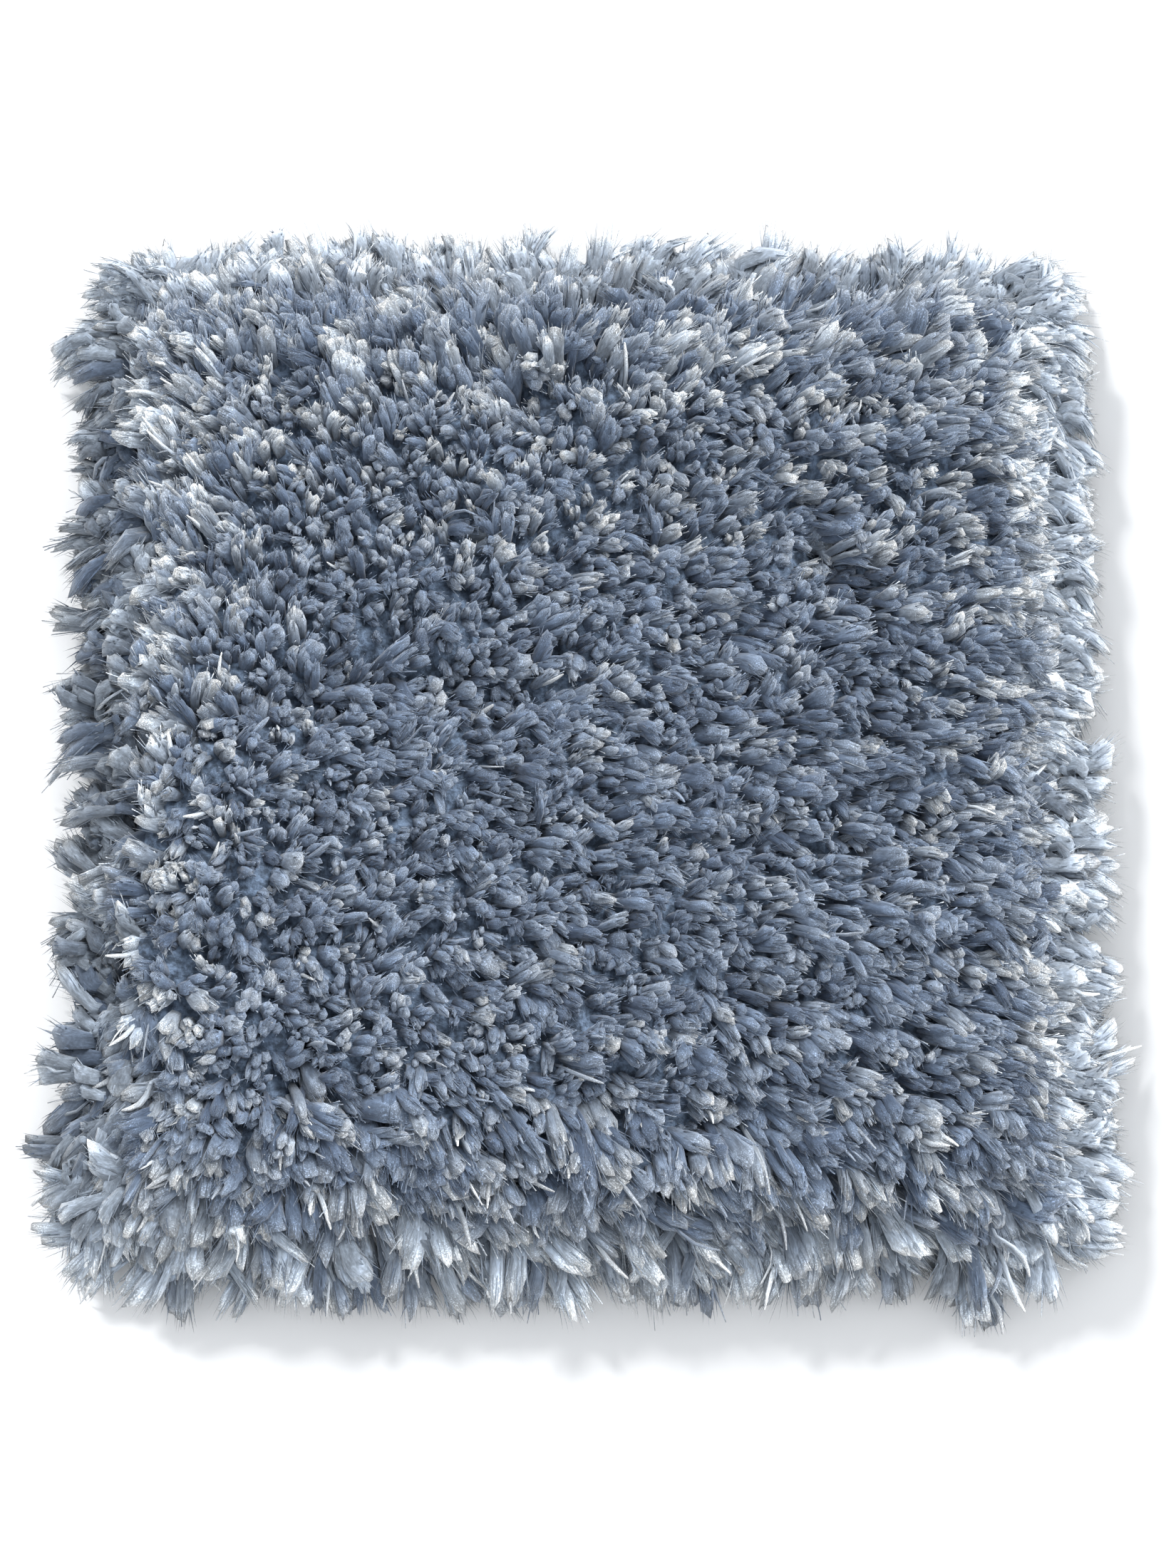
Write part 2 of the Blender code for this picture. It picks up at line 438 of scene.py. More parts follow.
def slow_field(places, rng, length, count=9):
    """A smooth uneven field, about 1 at most, that changes over that length."""
    field = np.zeros(len(places))
    for turn, phase in rng.uniform(0, 2 * math.pi, (count, 2)):
        way = np.array((math.cos(turn), math.sin(turn))) * 2 * math.pi / length
        field += np.cos(places @ way + phase)
    return field / math.sqrt(count * 2)


def painted_light(places):
    """Painted light and shade: how much paler the yarn is made at each place, by bands in
    millimetres from the middle, most at the right and top rims, which face the key light, and a
    little darker in a band just inside the bottom rim.
    """
    x, y = places.T / MM
    outer = 0.17 * eased(np.maximum(np.abs(x), np.abs(y)), 34, 92)
    corners = eased(np.abs(x) + np.abs(y), 150, 190) * (0.14 + 0.26 * eased(y, 40, 90))
    upper_band = 0.17 * (eased(y, 18, 44) - eased(y, 66, 86))
    lower_band = 0.04 * (eased(-y, 58, 70) - eased(-y, 78, 88))
    right = eased(x, 76, 102) * (1 - 0.28 * eased(-y, 25, 60))
    left = 0.24 * eased(-x, 56, 84) * (1 - 0.6 * eased(y, 10, 45))
    top = 0.66 * eased(y, 78, 102)
    bottom = 0.40 * eased(-y, 80, 98)
    return outer + corners + upper_band - lower_band + right + left + top + bottom


def pile_top(places):
    """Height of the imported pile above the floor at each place, and 0 beside it."""
    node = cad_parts["pile"]
    tree = BVHTree.FromPolygons(
        [v.co for v in node.data.vertices], [p.vertices for p in node.data.polygons]
    )
    heights = np.zeros(len(places))
    for index, (x, y) in enumerate(places):
        hit = tree.ray_cast(Vector((x, y, 0.1)), Vector((0, 0, -1)))[0]
        if hit is not None:
            heights[index] = hit.z
    return heights


def spread_out(ends, rim):
    """The cut ends once they have pushed each other apart, and how far apart each then is."""
    # they move up and down only at the rim
    freedom = np.column_stack((np.ones(len(rim)), np.ones(len(rim)), rim))
    for _ in range(SPREAD_ROUNDS):
        tree = KDTree(len(ends))
        for index, end in enumerate(ends):
            tree.insert(end, index)
        tree.balance()
        near = np.array([[i for _, i, _ in tree.find_n(e, SPREAD_NEAREST)][1:] for e in ends])
        apart = ends[:, None, :] - ends[near]
        distance = np.maximum(np.linalg.norm(apart, axis=2, keepdims=True), 1e-6)
        push = np.maximum(SPREAD_REACH - distance, 0) * apart / distance
        ends = ends + SPREAD_SHARE * push.sum(axis=1) * freedom
    return ends, distance[:, :GAPS, 0].mean(axis=1)


def knee_for_length(reach, rise, length):
    """Height of the knee that gives a bent yarn its length, found by halving."""
    low = np.zeros_like(reach)
    high = np.full_like(reach, 2 * length.max())
    chord = np.hypot(reach, rise)
    for _ in range(HALVINGS):
        knee = (low + high) / 2
        legs = knee + np.hypot(reach, rise - knee)
        short = (2 * chord + legs) / 3 < length  # the usual estimate of a bend's length
        low = np.where(short, knee, low)
        high = np.where(short, high, knee)
    return knee


def stand_roots(pile, rng):
    """Flat places of the tufts' roots on the backing, in staggered and straggling rows."""
    rows = root_rows(pile)
    x, y = np.meshgrid(rows, rows)
    x = x + np.where(np.arange(len(rows)) % 2, STAGGER, -STAGGER)[:, None] * pile.pitch
    root = np.stack((x.ravel(), y.ravel()), axis=1)
    root = root + rng.uniform(-STRAGGLE, STRAGGLE, root.shape) * pile.pitch
    return root[inset_of(root) > ROOT_MARGIN]


def lie_over(root, outward, reach, rim, rng):
    """Flat places of the cut ends: fallen outwards at the rim, and combed over further in."""
    lean = combed(root)
    wander = [slow_field(root, rng, WANDER_LENGTH) for _ in range(2)]
    lean += LEAN_WANDERS * np.stack(wander, axis=1)
    sides = np.maximum(np.concatenate((outward, -outward), axis=1), 0) ** 2
    reach = reach + sides @ FURTHER * rim * MM
    x, y = root.T / MM
    swept = SWEPT + SWEPT_MORE * eased(x, -10, 50) * eased(-y, 50, 80)
    way = unit(outward + swept[:, None] * unit(lean))
    way = unit(way + rng.normal(0, WAY_STRAYS, way.shape))
    reach = reach * rng.uniform(*REACH_VARIES, len(root))
    head = root + way * reach[:, None] + lean * (1 - rim)[:, None]
    return head + rng.normal(0, HEADS_STRAY, root.shape)


def uphill(places):
    """The pile's slope at each place, towards its higher side."""
    east, north = (SLOPE_STEP, 0), (0, SLOPE_STEP)
    rises = [pile_top(places + way) - pile_top(places - way) for way in (east, north)]
    return np.clip(np.stack(rises, axis=1) / (2 * SLOPE_STEP), -STEEPEST, STEEPEST)


def settle(head, outward, rim, rim_height, rng):
    """Flat places and heights of the cut ends once they lie evenly, and how far apart each is."""

    def height_at(places, height_of_rim):
        top = pile_top(places)
        return rim * height_of_rim + (1 - rim) * np.where(top > 0, top, rim_height)

    height = height_at(head, rim_height)
    end, gap = spread_out(np.column_stack((head, height)), rim)
    strayed = inset_of(head) - inset_of(end[:, :2])
    end[:, :2] -= outward * (strayed * np.sqrt(rim))[:, None]
    head = end[:, :2] + rng.normal(0, ENDS_STRAY, head.shape)
    height = height_at(head, end[:, 2])
    height += rng.normal(0, HEIGHTS_STRAY, len(rim)) * (1 - 0.3 * rim)
    return head, np.clip(height, LOWEST_END, HIGHEST_END), gap


def knee_heights(distance, rise, rim, length, rng):
    """Height above the backing of the knee that each yarn bends over."""
    varied = rng.normal(0, TIP_LEAN_VARIES, len(rim))
    tip_lean = np.radians(TIP_LEAN + distance / MM * TIP_LEAN_MORE + varied)
    tip_lean = np.clip(tip_lean, *np.radians(TIP_LEANS))
    inside = np.clip(rise - distance / np.tan(tip_lean), LOWEST_KNEE * rise, rise)
    at_rim = knee_for_length(distance, rise, length * rng.uniform(*LENGTH_VARIES, len(rim)))
    return rim * at_rim + (1 - rim) * inside


def plan_tufts(pile):
    """The tufts: where each stands, how it bends over and where its cut end lies."""
    rng = np.random.default_rng(SEED)
    root = stand_roots(pile, rng)
    count = len(root)
    inset = inset_of(root)
    steps = np.array(RIM) * MM
    reach = np.interp(inset, steps[:, 0], steps[:, 1])
    rim_height = np.interp(inset, steps[:, 0], steps[:, 2])
    rim = 1 - eased(inset, *RIM_INSETS)

    outward = unit(np.sign(root) * np.abs(root / BACKING_HALF) ** (FAN - 1))
    head = lie_over(root, outward, reach, rim, rng)
    head += uphill(head) * GATHER * (1 - rim)[:, None]
    head, height, gap = settle(head, outward, rim, rim_height, rng)

    base = BACKING_HIGH.z
    apart = head - root
    distance = np.linalg.norm(apart, axis=1)
    knee_height = knee_heights(distance, height - base, rim, pile.yarn_length, rng)
    sway = rng.normal(0, KNEES_STRAY, root.shape)

    clusters = sum(amount * slow_field(head, rng, length) for amount, length in CLUSTERS)
    share = rng.triangular(*TUFT_WIDTHS, count) * np.clip(gap / np.median(gap), *ROOM)
    share = 1 + (share - 1) * (1 - 0.5 * rim)
    puffs = rng.uniform(0, 1, count) < PUFFS
    width = (rim * pile.rim_width + (1 - rim) * pile.yarn_width) * share * (1 + 0.25 * puffs)
    tone = rng.normal(TONE, TONE_VARIES, count) + clusters + 0.10 * puffs
    flat = np.zeros(count)
    return Tufts(
        root=np.column_stack((root, np.full(count, base))),
        knee=np.column_stack((root + sway, base + knee_height)),
        head=np.column_stack((head, height)),
        across=unit(np.stack((-apart[:, 1], apart[:, 0], flat), axis=1)),
        curl=rng.normal(0, CURL + RIM_CURL * rim) * MM,
        width=np.minimum(width, WIDEST + WIDEST_MORE * rim),
        rim=rim,
        # the tone with painted light added, paler towards the rims
        tone=np.minimum(tone, PALEST) + painted_light(head),
    )


def plan_locks(pile):
    """The locks that the tufts open into, each like a slim tuft of its own."""
    tufts = plan_tufts(pile)
    rng = np.random.default_rng(SEED + 1)
    count = len(tufts.width)
    locks = some(tufts, np.repeat(np.arange(count), pile.locks))
    turn = rng.uniform(0, 2 * math.pi, (count, 1)) + turns(pile.locks)
    turn = turn.reshape(-1, 1) + rng.normal(0, 0.5, (len(locks.width), 1))
    way = unit(locks.head - locks.knee)
    out = unit(np.cross(way, locks.across))
    apart = (np.cos(turn) * locks.across + FLATTENED * np.sin(turn) * out) * locks.width[:, None]
    size = apart.shape
    loose = (0.8 + 1.2 * locks.rim[:, None]) * MM
    knee = locks.knee + OPENING.knee * apart + rng.normal(0, 1, size) * loose
    head = locks.head + OPENING.head * apart + way * rng.normal(0, 0.6, (size[0], 1)) * MM
    return locks._replace(
        root=locks.root + OPENING.root * apart * (1, 1, 0),
        knee=knee,
        head=head,
        across=unit(locks.across + rng.normal(0, 0.25, size)),
        curl=locks.curl + rng.normal(0, 0.4 + 0.8 * locks.rim) * MM,
        width=locks.width * pile.lock_width * rng.triangular(*LOCK_WIDTHS, size[0]),
        tone=locks.tone + rng.normal(0, 0.06, size[0]),
    )


def plan_strands(pile, rng):
    """The sheen strands, each like a slim tuft of its own, and which of them are the broad ones."""
    tufts = plan_tufts(pile)
    lower = eased(-tufts.head[:, 1] / MM, 40, 92)
    left = eased(-tufts.head[:, 0] / MM, -20, 60)
    odds = 0.4 + 0.8 * left + 4.0 * lower
    tufts = some(tufts, rng.choice(len(odds), pile.strands, p=odds / odds.sum()))
    size = (pile.strands, 3)
    broad = (rng.uniform(0, 1, pile.strands) < 0.30 + 0.25 * tufts.rim)[:, None]
    way = unit(tufts.head - tufts.knee)
    spare = rng.uniform(-1.0, 1.1, (pile.strands, 1)) * MM * (1 + tufts.rim[:, None]) + broad * MM
    beside = rng.normal(0, 1.3, size) * MM
    strands = tufts._replace(
        root=tufts.root + beside * (0.5, 0.5, 0),
        head=tufts.head + way * spare + beside * (1, 1, 0.3) + broad * (0, 0, 0.9 * MM),
        knee=tufts.knee + rng.normal(0, 1.9, size) * MM,
        across=unit(tufts.across + rng.normal(0, 0.5, size)),
    )
    return strands, broad


def some(tufts, chosen):
    """Those of the tufts that are chosen."""
    return Tufts(*(values[chosen] for values in tufts))


def plan_fibres(pile, rng):
    """Where each loose fibre leaves its lock and where it ends, and which of them are blunt."""
    locks = plan_locks(pile)
    wanted = pile.fibres + (pile.rim_fibres - pile.fibres) * locks.rim
    locks = some(locks, np.repeat(np.arange(len(wanted)), np.round(wanted).astype(int)))
    count = len(locks.width)
    start = rng.uniform(0.82 - 0.14 * locks.rim, 0.96 - 0.02 * locks.rim)[:, None]
    leaves = along_yarn(locks, start)[0]
    head, ways = along_yarn(locks, np.ones((count, 1)))
    side, out = square_to(ways, locks.across)
    turn = rng.uniform(math.radians(-35), math.radians(215), (count, 1, 1))
    half = locks.width[:, None, None] / 2
    radial = half * (np.cos(turn) * side + 0.65 * np.sin(turn) * out)
    base = leaves + 0.80 * radial + 0.12 * MM * out
    tilt = np.radians(rng.triangular(5, 55, 105, turn.shape))
    dome = np.sin(tilt) * radial + np.cos(tilt) * half * ways
    size = rng.normal(1.24, 0.20, turn.shape) * (1 + 0.25 * locks.rim[:, None, None])
    tip = head + dome * size + rng.normal(0, 0.15 * MM, radial.shape)
    base, tip = base.reshape(-1, 3), on_floor(tip.reshape(-1, 3), POINT_LOWEST)
    way = unit(tip - base)
    across = unit(np.cross(way, rng.normal(0, 1, way.shape)))
    width = pile.fibre_width * rng.uniform(0.65, 1.25, (count, 1, 1))
    tone = locks.tone[:, None]
    # painted glints: a few fibres made much paler
    painted_glint = rng.uniform(0, 1, tone.shape) < PAINTED_GLINTS
    tone = tone + rng.normal(0, 0.07, tone.shape) + 0.35 * painted_glint
    columns = map_columns(tone, rng.uniform(0.06, 0.80, tone.shape), 0.12)
    blunt = rng.uniform(0, 1, count) < 0.24 - 0.14 * locks.rim
    return Fibres(base, tip, across, width, columns, blunt)


def along_yarn(tufts, shares):
    """Middle line of each yarn at those shares of its way, with its direction there."""
    t = np.asarray(shares)
    t = (t[None, :] if t.ndim == 1 else t)[..., None]
    root, knee, head = (place[:, None, :] for place in (tufts.root, tufts.knee, tufts.head))
    curl = tufts.curl[:, None, None] * tufts.across[:, None, :]
    points = (1 - t) ** 2 * root + 2 * (1 - t) * t * knee + t**2 * head + t**5 * curl
    ways = 2 * (1 - t) * (knee - root) + 2 * t * (head - knee) + 5 * t**4 * curl
    return points, unit(ways)


def square_to(ways, across):
    """Two directions square to each yarn: across its flat side, and out of it."""
    out = unit(np.cross(ways, across[:, None, :]))
    return np.cross(out, ways), out


# ------------------------ from yarns to meshes


def skin(rings, ends, levels, columns, foot_levels=(0.0, 0.04)):
    """Closed skins over many like yarns.

    rings is (yarns, steps, sides, 3), ends the middle of each cut end, levels the map's height of
    each step with the end's last, columns the map's left and right edge for each yarn, and
    foot_levels the map's heights of the closed foot.
    Returns points, faces and the map's place of each face corner.
    """
    yarns, steps, sides, _ = rings.shape
    size = steps * sides + 1
    first = np.arange(yarns) * size
    step, side = np.meshgrid(np.arange(steps - 1), np.arange(sides), indexing="ij")
    step, side = step.ravel(), side.ravel()
    after = (side + 1) % sides
    low, high = step * sides, (step + 1) * sides
    wall = np.stack((low + side, low + after, high + after, high + side), axis=1)
    round_it = np.arange(sides)
    last = (steps - 1) * sides
    cap = np.stack(
        (last + round_it, last + (round_it + 1) % sides, np.full(sides, steps * sides)), axis=1
    )
    foot = round_it[None, ::-1]
    faces = [
        (first[:, None, None] + part[None]).reshape(-1, part.shape[1])
        for part in (wall, cap, foot)
    ]

    levels = np.asarray(levels)
    left, breadth = columns[:, :1], columns[:, 1:] - columns[:, :1]

    def place(u, v):
        across = left[:, :, None] + breadth[:, :, None] * (u / sides)[None]
        upward = np.broadcast_to(v[None], across.shape)
        return np.stack((across, upward), axis=-1).reshape(-1, 2)

    wall_u = np.stack((side, side + 1, side + 1, side), axis=1)
    wall_v = levels[np.stack((step, step, step + 1, step + 1), axis=1)]
    cap_u = np.stack((round_it, round_it + 1, round_it + 0.5), axis=1)
    cap_v = np.broadcast_to(levels[[steps - 1, steps - 1, steps]], (sides, 3))
    turn = turns(sides)[None, ::-1]
    foot_u = (0.5 + 0.4 * np.cos(turn)) * sides
    foot_v = foot_levels[0] + (foot_levels[1] - foot_levels[0]) * (0.5 + 0.5 * np.sin(turn))
    corners = [place(wall_u, wall_v), place(cap_u, cap_v), place(foot_u, foot_v)]

    points = np.concatenate((rings.reshape(yarns, -1, 3), ends[:, None, :]), axis=1)
    return points.reshape(-1, 3), faces, np.concatenate(corners)


def closed_grid(side, cells):
    """Points, at 0 and 1 high, and faces of a flat square box with a grid on both sides."""
    lines = np.linspace(-side, side, cells + 1)
    x, y = np.meshgrid(lines, lines)
    flat = np.stack((x.ravel(), y.ravel()), axis=1)
    n = cells + 1
    lower = np.column_stack((flat, np.zeros(n * n)))
    upper = np.column_stack((flat, np.ones(n * n)))
    row, column = np.meshgrid(np.arange(cells), np.arange(cells), indexing="ij")
    corner = (row * n + column).ravel()
    below = np.stack((corner, corner + n, corner + n + 1, corner + 1), axis=1)
    above = below[:, ::-1] + n * n
    on, back = np.arange(cells), np.arange(cells, 0, -1)
    edge = np.concatenate((on, on * n + cells, n * cells + back, back * n))
    follow = np.roll(edge, -1)
    rim = np.stack((edge, follow, follow + n * n, edge + n * n), axis=1)
    return np.concatenate((lower, upper)), [below, above, rim]


def corner_places(places, faces):
    """The map's place of each face corner, from that of each point."""
    return np.concatenate([places[part.ravel()] for part in faces])


def add_piece(name, points, faces, corners, material, node):
    """A mesh object of these faces that rides on the body and stands for that node."""
    indices = np.concatenate([part.ravel() for part in faces])
    sizes = np.concatenate([np.full(len(part), part.shape[1]) for part in faces])
    mesh = bpy.data.meshes.new(name)
    mesh.vertices.add(len(points))
    mesh.vertices.foreach_set("co", points.astype(np.float32).ravel())
    mesh.loops.add(len(indices))
    mesh.loops.foreach_set("vertex_index", indices.astype(np.int32))
    mesh.polygons.add(len(sizes))
    mesh.polygons.foreach_set("loop_start", (np.cumsum(sizes) - sizes).astype(np.int32))
    layer = mesh.uv_layers.new(name=MAP)
    layer.uv.foreach_set("vector", corners.astype(np.float32).ravel())
    mesh.update(calc_edges=True)
    mesh.shade_smooth()
    mesh.materials.append(material)
    piece = bpy.data.objects.new(name, mesh)
    bpy.context.scene.collection.objects.link(piece)
    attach(piece, BODY)
    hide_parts(node)
    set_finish(piece, node)
    return piece


def on_floor(places, lowest=YARN_LOWEST):
    """The same places, with none of them below the lowest height."""
    places[..., 2] = np.maximum(places[..., 2], lowest)
    return places


def map_levels(steps):
    """The levels of those steps and of the cut end on the yarn's map."""
    return (*(step.level for step in steps), 1.0)


def map_columns(tone, start=0.06, breadth=0.88):
    """The left and right edge, on the yarn's map, of a part of the column with that tone."""
    column = np.clip(np.floor(tone * COLUMNS), 0, COLUMNS - 1)
    return (column + start + np.array((0, breadth))) / COLUMNS


def ring_of(turn, side, out, flatness=1.0):
    """Places round a middle, at those turns and square to the yarn's way."""
    return np.cos(turn) * side[:, :, None, :] + flatness * np.sin(turn) * out[:, :, None, :]


def lock_rings(locks, pile, rng):
    """Rings of each uneven, flattened lock, and the middle of its cut end."""
    count = len(locks.width)
    steps = np.array(LOCK)
    points, ways = along_yarn(locks, steps[:, 0])
    side, out = square_to(ways, locks.across)
    half = locks.width[:, None, None, None] / 2 * steps[:, 1, None, None]
    thin = steps[:, 2, None, None] * (1 - 0.38 * locks.rim)[:, None, None, None]
    turn = turns(SIDES) + rng.uniform(0, 2 * math.pi, (count, 1))
    turn = turn[:, None, :, None]
    swell = 1 + rng.uniform(-0.16, 0.16, (count, len(LOCK), SIDES, 1))
    swell[:, -1] *= rng.uniform(0.6, 1.15, (count, 1, 1)) * (1 + 0.2 * locks.rim)[:, None, None]
    rings = points[:, :, None, :] + half * swell * ring_of(turn, side, out, thin)
    end_way = ways[:, -1]
    fray = rng.uniform(-1, 0.8, (count, SIDES, 1)) * pile.fray
    rings[:, -1] += end_way[:, None, :] * fray * (1 + 2.4 * locks.rim)[:, None, None]
    dome = rng.uniform(0.0, 0.6, (count, 1)) * MM
    return on_floor(rings), on_floor(points[:, -1] + end_way * dome)


def strand_rings(strands, broad, pile, rng):
    """Rings of each wavy strand, and the middle of its cut end."""
    count = len(strands.width)
    steps = np.array(STRAND)
    shares, widths, thin = steps[:, 0], steps[:, 1, None, None], steps[:, 2, None, None]
    points, ways = along_yarn(strands, shares)
    side, out = square_to(ways, strands.across)
    slim = np.where(broad, 1.0, SLIM)[:, :, None, None]
    half = slim * pile.strand_width / 2 * rng.uniform(0.7, 1.25, (count, 1, 1, 1))
    bend = rng.uniform(0.4, 2.4, (count, 1, 1)) * rng.choice((-1, 1), (count, 1, 1)) * MM
    curl = bend * (shares**5)[None, :, None]
    wave = np.sin((shares - 0.5) * 4 * math.pi)[None, :, None] * (0.3 + strands.rim)[:, None, None]
    wave = wave * rng.uniform(-1.3, 1.3, (count, 1, 1)) * MM
    points = points + side * (curl + wave)
    turn = turns(STRAND_SIDES)[None, None, :, None]
    rings = on_floor(points[:, :, None, :] + half * widths * ring_of(turn, side, out, thin))
    return rings, rings[:, -1].mean(axis=1) + ways[:, -1] * 0.15 * MM


def fibre_rings(fibres, cut):
    """The ring round each loose fibre's broad end, and the place of its point."""
    broad, point = (fibres.tip, fibres.base) if cut else (fibres.base, fibres.tip)
    lift = np.cross(unit(fibres.tip - fibres.base), fibres.across)
    turn = turns(FIBRE_SIDES)[None, None, :, None] * (-1 if cut else 1)
    ring = ring_of(turn, fibres.across[:, None], lift[:, None])[:, 0]
    rings = broad[:, None, :] + ring * fibres.width / 2 * (CUT_FIBRE_WIDTH if cut else 1)
    return on_floor(rings, FIBRE_LOWEST), point


# ------------------------ the finishes


class Finish:
    """A material whose nodes are added one by one."""

    def __init__(self, name):
        self.material = bpy.data.materials.new(name)
        self.material.use_nodes = True
        self.tree = self.material.node_tree
        self.shader = self.tree.nodes["Principled BSDF"]

    def add(self, kind, inputs=(), **values):
        """A node of that kind, with its values set and its inputs set or linked."""
        node = self.tree.nodes.new("ShaderNode" + kind)
        for key, value in values.items():
            setattr(node, key, value)
        for key, value in dict(inputs).items():
            self.feed(node.inputs[key], value)
        return node

    def feed(self, socket, value):
        """Links another node's output to the socket, or sets its value."""
        if isinstance(value, bpy.types.NodeSocket):
            self.tree.links.new(value, socket)
        else:
            socket.default_value = value

    def math(self, operation, first, second=0.0):
        """The output of a Math node."""
        return self.add("Math", {0: first, 1: second}, operation=operation).outputs[0]

    def noise(self, place, scale=1.0, detail=2.0, roughness=0.5):
        """A noise over that place."""
        inputs = {"Vector": place, "Scale": scale, "Detail": detail, "Roughness": roughness}
        return self.add("TexNoise", inputs).outputs[0]

    def stretched(self, u, v, across, along):
        """A place on the map, stretched across and along the yarn."""
        inputs = {0: self.math("MULTIPLY", u, across), 1: self.math("MULTIPLY", v, along)}
        return self.add("CombineXYZ", inputs).outputs[0]

    def ramp(self, value, stops):
        """Colours, or greys, over a value, from pairs of a place and a colour."""
        node = self.add("ValToRGB", {0: value})
        marks = node.color_ramp.elements
        for index, (place, colour) in enumerate(stops):
            mark = marks[index] if index < 2 else marks.new(place)
            mark.position = place
            mark.color = (*colour, 1) if hasattr(colour, "__len__") else (colour,) * 3 + (1,)
        return node.outputs[0]

    def mix(self, share, first, second, blend="MIX"):
        """Two colours mixed."""
        node = self.add("Mix", data_type="RGBA", blend_type=blend)
        self.feed(node.inputs["Factor"], share)
        self.feed(node.inputs[6], first)
        self.feed(node.inputs[7], second)
        return node.outputs[2]

    def times(self, first, second):
        """Two colours multiplied."""
        return self.mix(1.0, first, second, "MULTIPLY")

    def set(self, **values):
        """Values and links of the shader's own sockets."""
        for key, value in values.items():
            self.feed(self.shader.inputs[key.replace("_", " ")], value)


# ---- how fine the yarn's fibres, its locks and the specks of its cut end are, across and along its map, and how much darker or paler each makes it over a noise; the specks are a darker stipple and painted glints up to twice as pale
FIBRE_GRAIN, LOCK_GRAIN, STIPPLE_AND_GLINT_GRAIN = (2300.0, 18.0), (560.0, 5.0), (3200.0, 110.0)
FIBRE_SHADE = ((0.30, 0.76), (0.46, 0.93), (0.58, 1.08), (0.68, 1.34))
LOCK_SHADE = ((0.34, 0.74), (0.50, 0.98), (0.66, 1.28))
STIPPLE_AND_GLINT_SHADE = ((0.38, 0.82), (0.55, 1.0), (0.67, 1.95))
STIPPLE_AND_GLINT_SHARE = ((0.82, 0.0), (0.93, 1.0))  # over the yarn's length: the stipple and painted glints only near the cut end
# the palest columns are reached mostly through the painted light at the rims
YARN_TONES = (
    (0.05, (0.51, 0.54, 0.60)),
    (0.30, (0.76, 0.79, 0.84)),
    (0.52, (1.05, 1.03, 1.02)),
    (0.75, (1.60, 1.40, 1.18)),
    (0.98, (2.82, 2.45, 2.04)),
)
UNDERPILE_SHADE = ((0.38, 0.45), (0.50, 0.90), (0.64, 1.60))
CLOTH_SHADE = ((0.0, 0.62), (1.0, 1.05))


def yarn_finish(name, stops, sheen, roughness):
    """Soft cut yarn, coloured from root to cut end, with a tone for each column of its map."""
    finish = Finish(name)
    split = finish.add("SeparateXYZ", {0: finish.add("UVMap", uv_map=MAP).outputs[0]})
    u, v = split.outputs[0], split.outputs[1]
    column = finish.math("FLOOR", finish.math("MULTIPLY", u, COLUMNS))
    tone = finish.ramp(finish.math("DIVIDE", column, COLUMNS), YARN_TONES)
    body = finish.ramp(v, stops)
    fibres = finish.noise(finish.stretched(u, v, *FIBRE_GRAIN), detail=2.0, roughness=0.6)
    locks = finish.noise(finish.stretched(u, v, *LOCK_GRAIN), detail=2.0)
    # the cut end's specks: a darker stipple, and painted glints up to about twice as pale
    cut = finish.noise(finish.stretched(u, v, *STIPPLE_AND_GLINT_GRAIN), detail=1.0)
    stipple_and_glints = finish.ramp(cut, STIPPLE_AND_GLINT_SHADE)
    stipple_and_glints = finish.mix(finish.ramp(v, STIPPLE_AND_GLINT_SHARE), (1, 1, 1, 1), stipple_and_glints)
    streaks = finish.times(finish.ramp(fibres, FIBRE_SHADE), finish.ramp(locks, LOCK_SHADE))
    colour = finish.times(finish.times(body, finish.times(streaks, stipple_and_glints)), tone)
    relief = finish.math("ADD", fibres, finish.math("MULTIPLY", locks, 2.0))
    bump = finish.add("Bump", {"Strength": 0.5, "Distance": 0.25 * MM, "Height": relief})
    finish.set(
        Base_Color=colour,
        Normal=bump.outputs[0],
        Roughness=roughness,
        Sheen_Weight=sheen,
        Sheen_Roughness=0.5,
        Specular_IOR_Level=0.2,
        Diffuse_Roughness=1.0,
    )
    return finish.material


def shade(colour, strength):
    """That colour at that strength."""
    return tuple(strength * part for part in colour)


def tuft_finish(colours):
    """The tufts' matt blue-grey yarn, with a few pale and a few deeper ones."""
    # painted shade and light along the yarn: darkest just below the head, where the next heads
    # shade it, then paler to the cut end, partly the cut fibres' own whitish ends and partly
    # painted light
    stops = (
        (0.00, colours.root),
        (0.62, shade(colours.shaft, 0.74)),
        (0.80, colours.shaft),
        (0.91, colours.cut_end),
        (0.99, shade(colours.pale, 0.95)),
    )
    return yarn_finish("tuft yarn", stops, sheen=0.30, roughness=0.72)


def strand_finish(colours):
    """The sheen strands: the same yarn, silkier, and painted a little paler for their sheen."""
    stops = (
        (0.00, colours.root),
        (0.60, colours.shaft),
        (0.85, colours.cut_end),
        (1.00, shade(colours.pale, 1.10)),
    )
    return yarn_finish("sheen strand", stops, sheen=0.30, roughness=0.48)


def fibre_finish(colours):
    """The fine fibres of the brushes: painted shade where they leave their lock, and pale at their
    points and cut ends, partly their own colour and partly painted light.
    """
    stops = (
        (0.78, shade(colours.shaft, 0.80)),
        (0.88, colours.shaft),
        (0.95, colours.cut_end),
        (1.00, shade(colours.pale, 1.22)),
    )
    return yarn_finish("brush fibre", stops, sheen=0.25, roughness=0.60)


